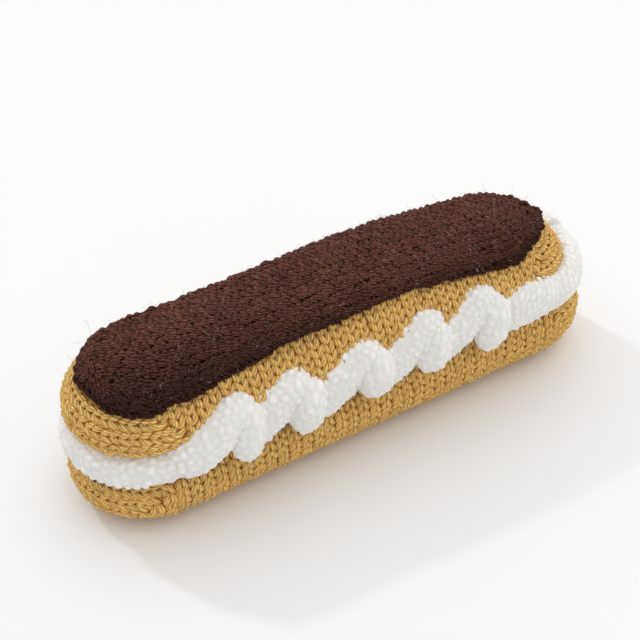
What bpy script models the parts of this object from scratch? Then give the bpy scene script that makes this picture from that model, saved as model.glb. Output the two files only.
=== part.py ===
"""Stuffed toy eclair, knitted in wool.

Two padded buns hold a cream strip that runs through between them and shows all
round, ruffled into lobes on both long sides. An icing patch is sewn on top.
Metres, +Z up, +X along the toy, -Y is the side with the measured lobes.
The origin is on the table, under the middle of the toy.
"""
import math

import bmesh
import bpy

# The outline that all four pieces share, seen from above: a stadium
LENGTH = 0.1700
WIDTH = 0.0448
GAP = 0.0003                 # between pieces that touch

# Lower bun: thinner at the -X end, where the toy was stuffed less
SEAM_HEIGHT = 0.0184         # top of the lower bun, half way along
SEAM_TILT = 0.0064           # how much higher it is at the +X end than at the -X end
LOWER_WAIST = 0.60           # widest level, as a share of the bun's height
BASE_ROUND = 0.0115          # how far the rounded side runs in to the flat base
SEAM_ROUND = 0.0060

# Cream strip
CREAM_HEIGHT = 0.0109        # between the buns
CREAM_EDGE = 0.0005          # how far the plain strip laps over each bun's edge
SIDE_PROUD = 0.0008          # plain strip, beyond the lower bun's side
END_PROUD = 0.0010
LOBE_PROUD = 0.0040
CREASE_PROUD = 0.0022        # between two lobes
LOBE_PITCH = 0.0199
FIRST_LOBE = -0.0470         # where along the near side the first lobe peaks
LOBE_COUNT = 5
FINE_STEP = 0.0019           # between the points of the outline, along the ruffles
COARSE_STEP = 0.0044         # and elsewhere
RUFFLE_START = -0.0610
RUFFLE_END = 0.0570
TROUGH_SHIFT = 0.0035        # a lobe's lowest place is this much further along than its peak
FAR_SHIFT = 0.0050           # the far side's lobes sit this much further along
PEAK_LIFT = 0.0110           # reach up the top bun's side at a peak
CREASE_LIFT = 0.0044         # and between two lobes
TROUGH_DROP = 0.0020         # reach down the lower bun's side at the lowest place
LOBE_POWER = 0.7             # less makes the lobes broader and the creases narrower
BULGE_POWER = 0.8            # less makes the strip's outer face fuller
LEAN_POWER = 1.5             # more keeps the lower part of the face nearer the lower bun's outline
RUFFLE_TURN = 0.3            # the lobes die out where the outline has turned this far
SLAB_INSET = 0.0100          # how far in the strip's flat parts begin, between the buns
STEEPEST = 0.97              # limit on how far along a bun's side the strip reaches

# Upper bun: shorter than the lower one
LEFT_SHORT = 0.0014
RIGHT_SHORT = 0.0104
UNDER_ROUND = 0.0070
UPPER_WAIST = 0.25
CROWN_HEIGHT = 0.0473        # top of the bun without its icing
CROWN_DROP = 0.0040          # how much lower the top is near the ends
CROWN_PLACE = 0.0100         # the highest place along the toy
CROWN_SPREAD = 0.0380        # how far from there it has dropped by two thirds
DOME_POWER = 2.2             # 2 is an ellipse, more is flatter on top
RIDGE = 0.88                 # the last ring of a dome, as a share of the way to its ridge
RING_POWER = 0.9             # less puts the dome's rings closer to the ridge

# Icing patch: how far in from the bun's side its edge lies, going round from the +X end
ICING_THICKNESS = 0.0028
ICING_EDGE = (
    (0.00, 0.0046), (0.03, 0.0060), (0.10, 0.0072), (0.25, 0.0076), (0.40, 0.0072), (0.50, 0.0073),
    (0.53, 0.0068), (0.56, 0.0058), (0.59, 0.0064), (0.61, 0.0059), (0.63, 0.0078), (0.65, 0.0082),
    (0.67, 0.0096), (0.70, 0.0098), (0.74, 0.0090), (0.775, 0.0096), (0.81, 0.0088), (0.87, 0.0072),
    (0.90, 0.0074), (0.93, 0.0093), (0.96, 0.0096), (0.985, 0.0070), (1.00, 0.0046),
)
EDGE_WAVE = 0.0004           # the hand-sewn edge wanders by this much
LONG_WAVES = 5
SHORT_WAVES = 17
PROBE = 0.02                 # share of the half width over which the dome's slope is taken

HALF = WIDTH / 2


def clear_scene():
    for scene_object in list(bpy.data.objects):
        bpy.data.objects.remove(scene_object, do_unlink=True)


def smooth_step(value, low, high):
    share = min(1.0, max(0.0, (value - low) / (high - low)))
    return share * share * (3 - 2 * share)


def rim(place):
    """Point and outward direction of the shared outline, place 0 to 1 round from the +X end."""
    straight = LENGTH - WIDTH
    arc = math.pi * HALF
    whole = 2 * (straight + arc)
    run = (place % 1.0) * whole + arc / 2
    if run >= whole:
        run -= whole
    if run < arc:
        angle = run / HALF - math.pi / 2
        centre = straight / 2
    elif run < arc + straight:
        return (straight / 2 - (run - arc), HALF), (0.0, 1.0)
    elif run < 2 * arc + straight:
        angle = (run - straight) / HALF - math.pi / 2
        centre = -straight / 2
    else:
        return (-straight / 2 + (run - 2 * arc - straight), -HALF), (0.0, -1.0)
    direction = (math.cos(angle), math.sin(angle))
    return (centre + HALF * direction[0], HALF * direction[1]), direction


def inside(place, inset):
    """The outline's point, moved in by an inset."""
    point, direction = rim(place)
    return point[0] - inset * direction[0], point[1] - inset * direction[1]


def seam(x):
    """Top of the lower bun."""
    return SEAM_HEIGHT + SEAM_TILT * x / LENGTH


def crown(x):
    """Top of the upper bun."""
    return CROWN_HEIGHT - CROWN_DROP * (1 - math.exp(-((x - CROWN_PLACE) / CROWN_SPREAD) ** 2))


def drawn_in(x):
    """How far along the upper bun's outline moves in from the shared one, at its two ends."""
    end = (LENGTH - WIDTH) / 2
    if x > 0:
        return -RIGHT_SHORT * smooth_step(x, 0.0, end)
    return LEFT_SHORT * smooth_step(-x, 0.0, end)


def lower_arc(x, angle, clear=0.0):
    """Inset and height on the lower bun's side, above its widest level."""
    wide = SEAM_ROUND
    high = seam(x) * (1 - LOWER_WAIST)
    across, up = unit(math.cos(angle) / wide, math.sin(angle) / high)
    inset = wide - wide * math.cos(angle) - clear * across
    return inset, seam(x) * LOWER_WAIST + high * math.sin(angle) + clear * up


def unit(across, up):
    size = math.hypot(across, up)
    return across / size, up / size


def upper_levels(x):
    """Bottom, widest level and top of the upper bun."""
    low = seam(x) + CREAM_HEIGHT
    return low, low + UPPER_WAIST * (crown(x) - low), crown(x)


def under_arc(x, angle, clear=0.0):
    """Inset and height on the upper bun's side, below its widest level.

    A negative angle goes straight up from that level.
    """
    low, waist, _ = upper_levels(x)
    wide = UNDER_ROUND
    high = waist - low
    if angle < 0:
        return -clear, waist - high * angle
    across, up = unit(math.cos(angle) / wide, math.sin(angle) / high)
    inset = wide - wide * math.cos(angle) - clear * across
    return inset, waist - high * math.sin(angle) - clear * up


def dome(x, share, clear=0.0):
    """Inset and height on the upper bun's top, share 0 at its side to 1 at its ridge."""
    low, waist, top = upper_levels(x)
    rise = (1 - (1 - share) ** DOME_POWER) ** (1 / DOME_POWER)
    slope_across = (1 - share) ** (DOME_POWER - 1) / HALF
    slope_up = rise ** (DOME_POWER - 1) / (top - waist)
    across, up = unit(slope_across, slope_up)
    inset = HALF * share - clear * across
    return inset, waist + (top - waist) * rise + clear * up


def even_places(count):
    return [index / count for index in range(count)]


def cream_places():
    """Places closer together along the ruffles, the same on both sides of the toy."""
    whole = 2 * (LENGTH - WIDTH) + 2 * math.pi * HALF
    half_round = [0.0]
    while True:
        x = rim(half_round[-1])[0][0]
        step = FINE_STEP if RUFFLE_START < x < RUFFLE_END else COARSE_STEP
        following = half_round[-1] + step / whole
        if following > 0.5 - FINE_STEP / whole:
            break
        half_round.append(following)
    back = [1 - place for place in reversed(half_round[1:])]
    return half_round + [0.5] + back


def ring(places, section, upper=0.0):
    """One ring of points on the shared outline, or with upper=1 on the upper bun's outline.

    The section gives the inset and the height for a place and its x.
    """
    points = []
    for place in places:
        along = upper * drawn_in(rim(place)[0][0])
        inset = section(place, rim(place)[0][0] + along)[0]
        x = inside(place, inset)[0] + along
        inset, height = section(place, x)
        point = inside(place, inset)
        points.append((point[0] + along, point[1], height))
    return points


def loft(name, rings, material):
    """Closed body through rings from the bottom up, each end closed by faces across its ring."""
    mesh = bpy.data.meshes.new(name)
    body = bmesh.new()
    loops = [[body.verts.new(point) for point in points] for points in rings]
    count = len(rings[0])
    for low, high in zip(loops, loops[1:]):
        for index in range(count):
            following = (index + 1) % count
            body.faces.new((low[index], low[following], high[following], high[index]))
    for loop, flip in ((loops[0], True), (loops[-1], False)):
        for index in range(count // 2):
            across = [loop[index], loop[index + 1], loop[count - index - 1], loop[-index]]
            corners = list(dict.fromkeys(across))
            body.faces.new(reversed(corners) if flip else corners)
    bmesh.ops.triangulate(body, faces=[face for face in body.faces if len(face.verts) > 3])
    bmesh.ops.recalc_face_normals(body, faces=body.faces)
    body.to_mesh(mesh)
    body.free()
    mesh.shade_smooth()
    mesh.materials.append(material)
    piece = bpy.data.objects.new(name, mesh)
    bpy.context.scene.collection.objects.link(piece)
    return piece


def wool(name, colour):
    material = bpy.data.materials.new(name)
    material.use_nodes = True
    shader = material.node_tree.nodes["Principled BSDF"]
    shader.inputs["Base Color"].default_value = (*colour, 1.0)
    shader.inputs["Roughness"].default_value = 0.9
    shader.inputs["Metallic"].default_value = 0.0
    return material


def quarter(steps, first=0):
    """Angles of a quarter turn."""
    return [math.pi / 2 * step / steps for step in range(first, steps + 1)]


def make_lower_bun():
    def base_section(angle):
        return lambda place, x: (BASE_ROUND * (1 - math.sin(angle)),
                                 seam(x) * LOWER_WAIST * (1 - math.cos(angle)))

    def seam_section(angle):
        return lambda place, x: lower_arc(x, angle)

    places = even_places(72)
    rings = [ring(places, base_section(angle)) for angle in quarter(6)]
    rings += [ring(places, seam_section(angle)) for angle in quarter(5, first=1)]
    return loft("bun_bottom", rings, wool("golden_wool", (0.47, 0.29, 0.10)))


def make_upper_bun():
    def under_section(angle):
        return lambda place, x: under_arc(x, angle)

    def dome_section(share):
        return lambda place, x: dome(x, share)

    places = even_places(72)
    rings = [ring(places, under_section(angle), upper=1.0) for angle in reversed(quarter(5))]
    for angle in quarter(8, first=1):
        share = RIDGE * (1 - math.cos(angle)) ** RING_POWER
        rings.append(ring(places, dome_section(share), upper=1.0))
    return loft("bun_top", rings, wool("golden_wool_top", (0.47, 0.29, 0.10)))


def lobe(x, far, shift):
    """1 at a lobe's peak, 0 in the crease between two lobes and along the plain strip."""
    start = FIRST_LOBE + shift + (FAR_SHIFT if far else 0.0)
    turn = (x - start) / LOBE_PITCH
    return (0.5 + 0.5 * math.cos(2 * math.pi * turn)) ** LOBE_POWER


def ruffled(x, far):
    """1 along the ruffled stretch of a long side, 0 where the strip lies plain."""
    start = FIRST_LOBE + (FAR_SHIFT if far else 0.0)
    last = start + (LOBE_COUNT - 1) * LOBE_PITCH
    before = smooth_step(x, start - 0.6 * LOBE_PITCH, start - 0.1 * LOBE_PITCH)
    return before * (1 - smooth_step(x, last + 0.3 * LOBE_PITCH, last + 0.8 * LOBE_PITCH))


def cream_levels(place, x):
    """Lowest and highest level of the strip's outer face, and how far proud it stands."""
    point, direction = rim(place)
    far = point[1] > 0
    straight = 1 - smooth_step(abs(direction[0]), 0.0, RUFFLE_TURN)
    share = ruffled(x, far) * straight
    peak = lobe(x, far, 0.0)
    trough = lobe(x, far, TROUGH_SHIFT)
    low = seam(x) - CREAM_EDGE - share * (TROUGH_DROP - CREAM_EDGE) * trough
    lift = CREASE_LIFT + (PEAK_LIFT - CREASE_LIFT) * peak
    high = seam(x) + CREAM_HEIGHT + CREAM_EDGE + share * (lift - CREAM_EDGE)
    plain = SIDE_PROUD + (END_PROUD - SIDE_PROUD) * abs(direction[0])
    full = CREASE_PROUD + (LOBE_PROUD - CREASE_PROUD) * max(peak, trough)
    return low, high, plain + share * (full - plain)


def lower_contact(place, x):
    """Where the strip's outer face meets the lower bun's side."""
    low = cream_levels(place, x)[0]
    waist = seam(x) * LOWER_WAIST
    return math.asin(min(STEEPEST, max(0.0, (low - waist) / (seam(x) - waist))))


def upper_contact(place, x):
    """Where the strip's outer face meets the upper bun's side, as the angle of under_arc."""
    high = cream_levels(place, x)[1]
    low, waist, _ = upper_levels(x)
    depth = (waist - high) / (waist - low)
    return depth if depth < 0 else math.asin(min(STEEPEST, depth))


def make_cream():
    def slab_under(place, x):
        return SLAB_INSET, seam(x) + GAP

    def along_lower(share):
        def section(place, x):
            end = lower_contact(place, x)
            return lower_arc(x, math.pi / 2 + share * (end - math.pi / 2), GAP)
        return section

    def bulge(angle):
        def section(place, x):
            start = lower_arc(x, lower_contact(place, x), GAP)
            end = under_arc(x, upper_contact(place, x), GAP)
            share = 0.5 + 0.5 * math.sin(angle)
            proud = cream_levels(place, x)[2]
            line = start[0] + share * (end[0] - start[0])
            inset = line - (line + proud) * math.cos(angle) ** BULGE_POWER
            return inset, start[1] + share * (end[1] - start[1])
        return section

    def along_upper(share):
        def section(place, x):
            start = max(0.0, upper_contact(place, x))
            return under_arc(x, start + share * (math.pi / 2 - start), GAP)
        return section

    def slab_top(place, x):
        return SLAB_INSET, seam(x) + CREAM_HEIGHT - GAP

    places = cream_places()
    rings = [ring(places, slab_under)]
    rings += [ring(places, along_lower(share)) for share in (0.0, 0.33, 0.67)]
    steps = 7
    for step in range(steps + 1):
        angle = -math.pi / 2 + math.pi * step / steps
        rings.append(ring(places, bulge(angle), upper=max(0.0, math.sin(angle)) ** LEAN_POWER))
    rings += [ring(places, along_upper(share), upper=1.0) for share in (0.04, 0.28, 0.52, 0.76, 1.0)]
    rings.append(ring(places, slab_top, upper=1.0))
    return loft("cream", rings, wool("white_wool", (0.80, 0.79, 0.76)))


def icing_edge(place):
    """How far in from the upper bun's side the icing's edge lies."""
    for (start, first), (end, second) in zip(ICING_EDGE, ICING_EDGE[1:]):
        if place <= end:
            inset = first + (second - first) * smooth_step(place, start, end)
            break
    turn = 2 * math.pi * place
    return inset + EDGE_WAVE * math.sin(SHORT_WAVES * turn) * math.cos(LONG_WAVES * turn)


def make_icing():
    radius = ICING_THICKNESS / 2

    def edge_share(place):
        return icing_edge(place) / HALF

    def under_section(part):
        def section(place, x):
            start = edge_share(place)
            return dome(x, start + part * (RIDGE - start), GAP)
        return section

    def top_section(part):
        def section(place, x):
            start = edge_share(place)
            return dome(x, start + part * (RIDGE - start), GAP + ICING_THICKNESS)
        return section

    def roll_section(angle):
        """The rolled edge: a half round that stands outside the edge line."""
        def section(place, x):
            start = edge_share(place)
            inset, height = dome(x, start, GAP + radius * (1 + math.sin(angle)))
            further = dome(x, start + PROBE, GAP + radius * (1 + math.sin(angle)))
            across, up = unit(further[0] - inset, further[1] - height)
            out = radius * math.cos(angle)
            return inset - out * across, height - out * up
        return section

    places = even_places(96)
    parts = (1.0, 0.66, 0.33, 0.12, 0.0)
    rings = [ring(places, under_section(part), upper=1.0) for part in parts]
    rings += [ring(places, roll_section(math.radians(angle)), upper=1.0) for angle in (-45, 0, 45)]
    rings += [ring(places, top_section(part), upper=1.0) for part in (0.0, 0.08, 0.2, 0.4, 0.66, 1.0)]
    return loft("icing", rings, wool("brown_wool", (0.045, 0.020, 0.016)))


def main():
    clear_scene()
    make_lower_bun()
    make_cream()
    make_upper_bun()
    make_icing()


if __name__ == "__main__":
    main()
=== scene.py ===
"""Knitted toy eclair: the wool covers, the ruffled cream strip, fuzz and the stage.

The stitches are real loops of yarn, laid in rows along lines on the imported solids.
Metres, +Z up, in the solids' own frame.
"""

import math

import bpy
import numpy as np
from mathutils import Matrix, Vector
from mathutils.bvhtree import BVHTree


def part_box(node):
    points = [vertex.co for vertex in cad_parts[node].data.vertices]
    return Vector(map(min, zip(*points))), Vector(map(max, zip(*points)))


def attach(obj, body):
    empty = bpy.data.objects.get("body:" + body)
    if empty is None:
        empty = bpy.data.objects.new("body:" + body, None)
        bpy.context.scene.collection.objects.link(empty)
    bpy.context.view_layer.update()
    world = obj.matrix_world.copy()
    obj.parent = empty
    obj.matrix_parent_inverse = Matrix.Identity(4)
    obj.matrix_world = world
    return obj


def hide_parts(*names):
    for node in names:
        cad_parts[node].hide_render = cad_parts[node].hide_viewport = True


bl_info = {
    "name": "Knitted Toy Eclair",
    "version": (1, 0, 0),
    "blender": (4, 5, 0),
    "location": "View3D > Sidebar > Eclair",
    "description": "Makes the knitted covers, the cream strip and the stage of a toy eclair",
    "category": "Object",
}

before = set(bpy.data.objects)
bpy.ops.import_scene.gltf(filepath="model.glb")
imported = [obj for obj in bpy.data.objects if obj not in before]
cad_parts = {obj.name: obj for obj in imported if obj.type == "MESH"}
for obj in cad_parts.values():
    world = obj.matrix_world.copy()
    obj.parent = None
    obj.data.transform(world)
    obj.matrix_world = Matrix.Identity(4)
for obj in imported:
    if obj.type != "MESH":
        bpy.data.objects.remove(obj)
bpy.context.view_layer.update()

BODY = "root"
FLOOR_CLEAR = 0.0001            # the wool rests this far above the floor
GRID_STEP = 0.0006              # between the points of a patch, across it
PATH_STEP = 0.0005              # between the points of a row's line
CORNER_ROUND = 0.0024           # of a row that turns up beside a round end
ROUND_STEP = 0.0015             # between the rays that are cast round an outline
FAN_RAYS = 60                   # from a bun's spine, up or down its side
RAY_START = 0.1                 # from where a ray is cast at the icing from outside


# Sizes and colours

def length(**words):
    return bpy.props.FloatProperty(unit="LENGTH", **words)


def colour_of(**words):
    return bpy.props.FloatVectorProperty(subtype="COLOR", size=3, min=0, max=1, **words)


class EclairSizes(bpy.types.PropertyGroup):
    stitch_width: length(
        name="Stitch width", description="Width of a column of stitches on the buns", default=0.0038)
    stitch_row: length(
        name="Row height", description="Height of a row of stitches on the buns", default=0.0027)
    yarn: length(
        name="Yarn radius", description="Radius of the golden yarn where it is thickest", default=0.00098)
    icing_width: length(
        name="Icing stitch width", description="Width of a column of stitches on the icing", default=0.0026)
    icing_row: length(
        name="Icing row height", description="Height of a row of stitches on the icing", default=0.0021)
    icing_yarn: length(
        name="Icing yarn radius", description="Radius of the brown yarn where it is thickest",
        default=0.00074)
    bump_width: length(
        name="Cream bump width", description="Distance between the bumps across the cream strip",
        default=0.0024)
    bump_row: length(
        name="Cream bump row", description="Distance between the rows of bumps along the strip",
        default=0.0020)
    bump_height: length(
        name="Cream bump height", description="How far the bumps stand up from the strip", default=0.00070)
    sink: length(
        name="Sink", description="How far below the solid's surface the middle of the yarn lies",
        default=0.0010)
    core: length(
        name="Core depth", description="How far below the solid's surface the stuffed core lies",
        default=0.0014)
    end_reach: length(
        name="End reach", description="How far past the round end the rows run before they turn up",
        default=0.0100)


class EclairColours(bpy.types.PropertyGroup):
    golden: colour_of(
        name="Golden wool", description="Colour of the buns", default=(1.0, 0.635, 0.20))
    # Painted shade: the darker golden put between the buns' stitches, between the plies and where a loop
    # dives, and on the cores that show through the gaps.
    golden_painted_shade: colour_of(
        name="Golden wool, deep", description="Colour between the buns' stitches",
        default=(0.84, 0.375, 0.062))
    brown: colour_of(
        name="Brown wool", description="Colour of the icing", default=(0.172, 0.065, 0.046))
    # Painted shade: the near-black brown put between the icing's stitches, between the plies and where a
    # loop dives, and on its core.
    brown_painted_shade: colour_of(
        name="Brown wool, deep", description="Colour between the icing's stitches",
        default=(0.010, 0.0038, 0.0028))
    white: colour_of(
        name="White wool", description="Colour of the cream strip", default=(0.98, 0.975, 0.96))
    # Painted shade: the darker, warmer white put between the cream's bumps and on the filling inside the
    # strip.
    white_painted_shade: colour_of(
        name="White wool, deep", description="Colour between the strip's stitches",
        default=(0.78, 0.76, 0.71))
    table: colour_of(
        name="Table", description="Colour of the floor", default=(0.90, 0.90, 0.90))


class EclairStage(bpy.types.PropertyGroup):
    lens: bpy.props.FloatProperty(
        name="Lens", description="Focal length on a 36 mm sensor, in millimetres", default=59.34)
    camera_place: bpy.props.FloatVectorProperty(
        name="Camera place", description="Where the camera stands", size=3,
        default=(-0.1252, -0.1976, 0.2256), subtype="TRANSLATION")
    camera_aim: bpy.props.FloatVectorProperty(
        name="Camera aim", description="Direction in which the camera looks", size=3,
        default=(0.3922, 0.6580, -0.6428), subtype="DIRECTION")
    key_aim: bpy.props.FloatVectorProperty(
        name="Key aim", description="Direction in which the key light shines", size=3,
        default=(0.234, -0.729, -0.643), subtype="DIRECTION")
    key_power: bpy.props.FloatProperty(
        name="Key power", description="Strength of the key light", default=0.52)
    key_angle: bpy.props.FloatProperty(
        name="Key angle", description="Apparent size of the key light", default=math.radians(4),
        subtype="ANGLE")
    sky_power: bpy.props.FloatProperty(
        name="Sky power", description="Strength of the soft light from all round", default=0.945)
    sky_colour: colour_of(
        name="Sky colour", description="Colour of the soft light", default=(1.0, 0.992, 0.985))
    key_colour: colour_of(
        name="Key colour", description="Colour of the key light", default=(0.84, 0.93, 1.0))


# Shader maths

def plug(tree, socket, value):
    """Links a value to a socket, or sets a plain number or colour on it."""
    if isinstance(value, Value):
        tree.links.new(value.socket, socket)
    else:
        socket.default_value = value


class Value:
    """A shader socket that plain sums can be written with."""

    def __init__(self, tree, socket):
        self.tree = tree
        self.socket = socket

    def math(self, operation, *others):
        node = self.tree.nodes.new("ShaderNodeMath")
        node.operation = operation
        for index, value in enumerate((self, *others)):
            plug(self.tree, node.inputs[index], value)
        return Value(self.tree, node.outputs[0])

    def __add__(self, other):
        return self.math("ADD", other)

    def __sub__(self, other):
        return self.math("SUBTRACT", other)

    def __mul__(self, other):
        return self.math("MULTIPLY", other)

    def __truediv__(self, other):
        return self.math("DIVIDE", other)

    def __rsub__(self, other):
        return (self * -1.0).math("ADD", other)

    __radd__ = __add__
    __rmul__ = __mul__

    def fraction(self):
        return self.math("FRACT")

    def clamped(self):
        node = self.math("MULTIPLY", 1.0)
        node.socket.node.use_clamp = True
        return node


class Finish:
    """A material whose nodes are added one call at a time."""

    def __init__(self, name):
        self.material = bpy.data.materials.new(name)
        self.material.use_nodes = True
        self.tree = self.material.node_tree
        self.shader = self.tree.nodes["Principled BSDF"]
        self.place = self.out(self.node("ShaderNodeTexCoord"), "Object")

    def node(self, kind, settings=None, **sockets):
        """A node of a type, with its settings, then its sockets as values or links."""
        node = self.tree.nodes.new(kind)
        for key, value in (settings or {}).items():
            setattr(node, key, value)
        for key, value in sockets.items():
            plug(self.tree, node.inputs[key], value)
        return node

    def out(self, node, name):
        return Value(self.tree, node.outputs[name])

    def attribute(self, name):
        return self.out(self.node("ShaderNodeAttribute", {"attribute_name": name}), "Fac")

    def noise(self, scale, detail=3.0):
        node = self.node("ShaderNodeTexNoise", Vector=self.place, Scale=scale, Detail=detail)
        return self.out(node, "Fac")

    def mix(self, share, first, second):
        """A mix of two colours, each of them plain or a value."""
        node = self.node("ShaderNodeMix", {"data_type": "RGBA"})
        plug(self.tree, node.inputs[0], share)
        for index, value in ((6, first), (7, second)):
            plug(self.tree, node.inputs[index], value if isinstance(value, Value) else (*value, 1.0))
        return Value(self.tree, node.outputs[2])

    def feed(self, socket, value):
        self.tree.links.new(value.socket, self.shader.inputs[socket])

    def paint(self, share, first, second):
        self.feed("Base Color", self.mix(share, first, second))

    def bump(self, height, distance):
        node = self.node("ShaderNodeBump", Height=height, Distance=distance, Strength=1.0)
        self.feed("Normal", self.out(node, "Normal"))

    def fixed(self, **sockets):
        for key, value in sockets.items():
            self.shader.inputs[key.replace("_", " ")].default_value = value


YARN_BUMP = 0.00045             # how deep the plies, the core's and the cream's fibres look
CORE_BUMP = 0.00030
CREAM_BUMP = 0.00030
# The next two numbers shape a painted shade on the icing's near side: darker towards its rim, which slopes
# away from the key light.
PAINTED_SHADE_TILT = 0.25                # how much sooner the icing gets darker on the near side
EDGE_SHADE = 0.34               # and how much of its colour is left at the rim


def scaled(colour, factor):
    return tuple(min(1.0, channel * factor) for channel in colour)


def yarn_finish(name, colour, deep, plies=6.0, pitch=0.0021, relief=0.40, sheen=0.1, grain=0.55,
                vary=0.10, edge=None):
    """Spun wool: plies wound round the yarn, with painted shade between them and where a loop dives, by
    relief.

    Between the two heights of edge, where the wool turns down on the near side, a painted shade darkens it,
    as that slope faces away from the key light.
    """
    finish = Finish(name)
    uv = finish.node("ShaderNodeUVMap", {"uv_map": "yarn"})
    split = finish.node("ShaderNodeSeparateXYZ", Vector=finish.out(uv, "UV"))
    around = finish.out(split, "X")
    along = finish.out(split, "Y")
    wander = finish.noise(260.0, 1.0) - 0.5
    turn = (around * plies + along / pitch + wander * 0.8).fraction()
    ply = 1.0 - (turn * 2.0 - 1.0) * (turn * 2.0 - 1.0)
    fibre = finish.noise(2600.0, 2.0)
    patchy = finish.noise(70.0, 2.0)
    up = finish.attribute("lift").clamped()
    stitch = finish.attribute("stitch")
    # Painted shade: darker between the plies and where a loop dives; the fibre noise is the wool's own
    # grain.
    light = (up * relief + ply * ply * (1.10 - relief) + (fibre - 0.4) * grain).clamped()
    body = finish.mix((stitch * 0.6 + patchy * 0.4).clamped(), scaled(colour, 1 - vary),
                      scaled(colour, 1 + vary))
    # Painted shade on the near side, darker towards the rim, which faces away from the key light.
    if edge:
        low, high = edge
        parts = finish.node("ShaderNodeSeparateXYZ", Vector=finish.place)
        height = finish.out(parts, "Z") + finish.out(parts, "Y") * PAINTED_SHADE_TILT
        share = ((height - low) * (1 / (high - low))).clamped()
        body = finish.mix(share, scaled(colour, EDGE_SHADE), body)
    finish.paint(light, deep, body)
    finish.bump(ply * 0.7 + fibre * 0.5, YARN_BUMP)
    finish.fixed(Roughness=0.92, Sheen_Weight=sheen, Sheen_Roughness=0.5, Specular_IOR_Level=0.1)
    return finish.material


def core_finish(name, colour):
    """The stuffed core behind the stitches, in a painted shade: darker than the wool, where the gaps
    between the stitches lie in shade.
    """
    finish = Finish(name)
    fibre = finish.noise(900.0)
    finish.paint(fibre, scaled(colour, 0.6), scaled(colour, 1.3))
    finish.bump(fibre, CORE_BUMP)
    finish.fixed(Roughness=0.95)
    return finish.material


def cream_finish(name, colour, deep):
    """Soft white wool in garter bumps, with a warm painted shade between them."""
    finish = Finish(name)
    fibre = finish.noise(1500.0)
    twist = finish.noise(520.0, 2.0)
    patchy = finish.noise(90.0, 2.0)
    up = finish.attribute("lift").clamped()
    # Painted shade: darker and warmer between the bumps, lighter on their tops; the fibre and patchy noise
    # are the wool's own tone.
    finish.paint((up * 0.7 + fibre * 0.8 + patchy * 0.4 - 0.35).clamped(), deep, colour)
    finish.bump(fibre * 0.5 + twist * 0.7, CREAM_BUMP)
    finish.fixed(Roughness=0.95, Sheen_Weight=0.2, Sheen_Roughness=0.5, Specular_IOR_Level=0.1)
    return finish.material


def fuzz_finish(name, colour):
    """Loose fibres."""
    finish = Finish(name)
    finish.paint(finish.noise(150.0, 1.0), scaled(colour, 0.8), scaled(colour, 1.2))
    finish.fixed(Roughness=0.8, Sheen_Weight=0.2)
    return finish.material


# Patches and lines on the solids

class Outline:
    """The long round-ended outline that a bun's sides follow, by distance round it from the +X end."""

    def __init__(self, node):
        low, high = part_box(node)
        self.half = (high.y - low.y) / 2
        self.middle = (high.x + low.x) / 2
        self.straight = high.x - low.x - 2 * self.half
        self.arc = math.pi * self.half
        self.whole = 2 * (self.straight + self.arc)

    def at(self, run):
        """Point of the spine and outward direction for a distance round the outline."""
        run = (run + self.arc / 2) % self.whole
        if run < self.arc:
            angle = run / self.half - math.pi / 2
            spine = self.straight / 2
        elif run < self.arc + self.straight:
            return Vector((self.middle + self.straight / 2 - (run - self.arc), 0, 0)), Vector((0, 1, 0))
        elif run < 2 * self.arc + self.straight:
            angle = (run - self.straight) / self.half - math.pi / 2
            spine = -self.straight / 2
        else:
            x = self.middle - self.straight / 2 + (run - 2 * self.arc - self.straight)
            return Vector((x, 0, 0)), Vector((0, -1, 0))
        return Vector((self.middle + spine, 0, 0)), Vector((math.cos(angle), math.sin(angle), 0))


def tree_of(node):
    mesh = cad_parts[node].data
    corners = [vertex.co for vertex in mesh.vertices]
    return BVHTree.FromPolygons(corners, [polygon.vertices for polygon in mesh.polygons])


def fanned(direction, angle):
    """A level direction, turned up by an angle."""
    return direction * math.cos(angle) + Vector((0, 0, math.sin(angle)))


def running(line):
    """How far along a line each of its points lies."""
    return np.concatenate(([0], np.cumsum(np.linalg.norm(np.diff(line, axis=0), axis=1))))


def even_points(line, step):
    """The points of a line, evenly spaced by a given step."""
    line = np.array(line)
    run = running(line)
    places = np.arange(0, run[-1], step)
    return np.stack([np.interp(places, run, line[:, axis]) for axis in range(3)], 1)


def unit_rows(rows):
    return rows / np.maximum(np.linalg.norm(rows, axis=-1, keepdims=True), 1e-12)


class Patch:
    """A grid of points on a surface, read by distance round it and across it."""

    def __init__(self, points, whole, step, outward):
        kernel = (0.2, 0.6, 0.2)
        self.points = sum(share * np.roll(points, shift, 0) for shift, share in zip((-1, 0, 1), kernel))
        along = np.roll(self.points, -1, 0) - np.roll(self.points, 1, 0)
        across = np.gradient(self.points, axis=1)
        self.normals = unit_rows(np.cross(along, across) * outward)
        self.whole = whole
        self.step = step

    def read(self, around, across):
        """Points and normals for arrays of distances."""
        count, depth = self.points.shape[:2]
        row = np.asarray(around) / self.whole % 1.0 * count
        column = np.clip(np.asarray(across) / self.step, 0, depth - 1.001)
        low, left = np.floor(row).astype(int), np.floor(column).astype(int)
        share, part = (row - low)[..., None], (column - left)[..., None]
        low, high = low % count, (low + 1) % count

        def blended(grid):
            first = grid[low, left] * (1 - part) + grid[low, left + 1] * part
            second = grid[high, left] * (1 - part) + grid[high, left + 1] * part
            return first * (1 - share) + second * share
        return blended(self.points), unit_rows(blended(self.normals))


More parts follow.
